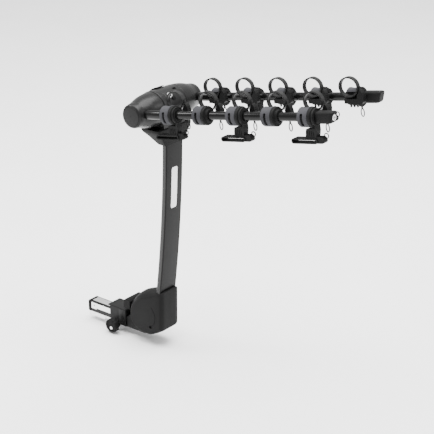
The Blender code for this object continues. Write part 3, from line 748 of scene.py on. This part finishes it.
def shape_cage():
    """A sway cage: collar, ribbed stem, flat strap loop, buckle and pull ring."""
    collar = fillet([(27.6, 25.2), (27.6, 31), (35.4, 31), (35.4, 25.2)], 1, 3)
    cage = mesh_object("cage_shape", lathe_shape(collar, "X", steps=48), "cage_rubber")
    stem = [(-9, -40), (-7, -38.8), (27.6, -38.8), (27.6, -26.5), (35.2, -26.5), (35.2, -46), (29, -73.5),
            (-15, -73.5), (-12, -52)]
    boolean(cage, mesh_object("tool", prism_shape(fillet(stem, 2, 3), -13, 13), "cage_rubber"), "UNION")
    for k in range(4):
        lean = 1.2 * (k - 1.5)
        for face in (-1, 1):
            groove = [(-4 + 7.2 * k, -47), (-1.2 + 7.2 * k, -47), (-1.2 + 7.2 * k + lean, -70),
                      (-4 + 7.2 * k + lean, -70)]
            low, high = sorted((face * 11.4, face * 15))
            boolean(cage, mesh_object("tool", prism_shape(fillet(groove, 1, 2), low, high), "cage_rubber"))
    low, high, left, right = -94.0, -71.0, -78.0, 36.0
    radius = (high - low) / 2
    path = arc((left + radius, low + radius), radius - 2, 90, 270, 14)
    path += arc((right - radius, low + radius), radius - 2, -90, 90, 14)
    loop = sweep_shape([Vector((x, 0, z)) * MM for x, z in path],
                       [(-u, v) for u, v in ribbon_section(4.2, 16, 0.8, 4)], closed=True)
    boolean(cage, mesh_object("tool", loop, "cage_rubber"), "UNION")
    buckle = fillet([(28, low + 3), (54, low + 3), (60, low + 10), (58, high - 3), (50, high + 4),
                     (30, high + 4)], 2.5, 3)
    boolean(cage, mesh_object("tool", prism_shape(buckle, -12, 12), "cage_rubber"), "UNION")
    for k in range(5):
        x = 31 + 4.6 * k
        tooth = prism_shape([(x, high + 1.6), (x + 1.2, high + 6), (x - 1.2, high + 6)], -14, 14)
        boolean(cage, mesh_object("tool", tooth, "cage_rubber"))
    ring = [Vector((64 + 8.5 * math.cos(a), 0, high + 6 + 8.5 * math.sin(a))) * MM for a in
            [math.tau * k / 32 for k in range(32)]]
    wire = sweep_shape(ring, [(u * MM, v * MM) for u, v in arc((0, 0), 2.0, 0, 324, 9)], closed=True)
    boolean(cage, mesh_object("tool", wire, "cage_rubber"), "UNION")
    return add_bevel(cage, 0.5, 2, 45)


def repeat(shape, name, matrix, body, slot, node):
    """A copy of a shared shape, placed in the row frame, standing for one CAD node."""
    piece = shape.copy()
    piece.data = shape.data.copy()
    piece.name = name
    bpy.context.scene.collection.objects.link(piece)
    place(piece, matrix)
    return settle(piece, body, slot, node)


def make_cradles():
    shapes = {"cradle": shape_cradle(), "pad": shape_pad(), "strap": shape_strap(), "sway_cage": shape_cage()}
    slots = {"cradle": "black_plastic", "pad": "grey_rubber", "strap": "strap_rubber"}
    for name, side in SIDES.items():
        for number in range(1, CRADLES + 1):
            matrix = cradle_frame(number, side)
            for kind, slot in slots.items():
                node = f"{kind}_{name}_{number}"
                repeat(shapes[kind], f"{node}_detailed", matrix, "arms", slot, node)
            if number in SWAY_CAGES[name]:
                node = f"sway_cage_{name}_{number}"
                repeat(shapes["sway_cage"], f"{node}_detailed", matrix, node, "cage_rubber", node)
    for shape in shapes.values():
        bpy.data.objects.remove(shape, do_unlink=True)


# Studio -------------------------------------------------------------------------------------------


def aim(item, target):
    item.rotation_euler = (Vector(target) - item.location).to_track_quat("-Z", "Y").to_euler()


def add_light(name, location, target, size, power):
    light = bpy.data.lights.new(name, "AREA")
    light.shape = "RECTANGLE"
    light.size, light.size_y = size
    light.energy = power
    lamp = bpy.data.objects.new(name, light)
    bpy.context.scene.collection.objects.link(lamp)
    lamp.location = location
    aim(lamp, target)


def make_camera():
    camera_data = bpy.data.cameras.new("camera")
    camera_data.lens = 110.08
    camera = bpy.data.objects.new("camera", camera_data)
    bpy.context.scene.collection.objects.link(camera)
    azimuth, elevation, distance = math.radians(38.31), math.radians(22.09), 5.1248
    target = Vector((0.6839, 0.0015, 0.5704))
    back = Vector((math.sin(azimuth) * math.cos(elevation), -math.cos(azimuth) * math.cos(elevation),
                   math.sin(elevation)))
    camera.location = target + back * distance
    aim(camera, target)
    bpy.context.scene.camera = camera


def make_studio():
    low, high = (Vector(corner) for corner in cad_box)
    middle = (low + high) / 2
    shape = bmesh.new()
    bmesh.ops.create_grid(shape, x_segments=1, y_segments=1, size=30)
    mesh = bpy.data.meshes.new("floor")
    shape.to_mesh(mesh)
    shape.free()
    floor = bpy.data.objects.new("floor", mesh)
    floor.location = (middle.x, middle.y, low.z - 0.004)
    bpy.context.scene.collection.objects.link(floor)
    pale = Nodes("pale_floor")
    pale.link(pale.ramp(pale.noise(1.5), grey(0.92), grey(0.95)), pale.shader.inputs["Base Color"])
    pale.shader.inputs["Roughness"].default_value = 0.9
    pale.shader.inputs["Specular IOR Level"].default_value = 0.1
    mesh.materials.append(pale.material)

    world = bpy.data.worlds.new("studio")
    world.use_nodes = True
    world.node_tree.nodes["Background"].inputs["Color"].default_value = (1, 1, 1, 1)
    world.node_tree.nodes["Background"].inputs["Strength"].default_value = 1.1
    bpy.context.scene.world = world
    add_light("key", (-2.2, -1.6, 3.4), middle, (1.2, 1.2), 90)
    add_light("top", (0.9, 0.3, 7.5), middle, (7.0, 7.0), 2100)
    add_light("rear_fill", (3.6, 2.2, 3.0), middle, (1.2, 1.2), 40)


def build():
    make_camera()
    make_shank()
    make_knob()
    collar_low, collar_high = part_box("receiver_stirrup")
    make_bolt("collar_bolt", (collar_high.x - 0.018, collar_low.y, -0.002), (0, -1, 0), 9, 7, "base")
    make_bolt("collar_bolt_far", (collar_high.x - 0.018, collar_high.y, -0.002), (0, 1, 0), 9, 7, "base")
    make_housing()
    make_mast()
    make_levers()
    make_hub()
    make_yoke()
    for name, side in SIDES.items():
        make_cone(name, side)
        make_arm(name, side)
    make_lock_core()
    make_cradles()
    for node in ("hub_shaft", "tilt_pivot_bolt"):
        NODES[node].data.materials.clear()
        NODES[node].data.materials.append(MATERIALS["zinc_steel"])
    make_studio()


build()
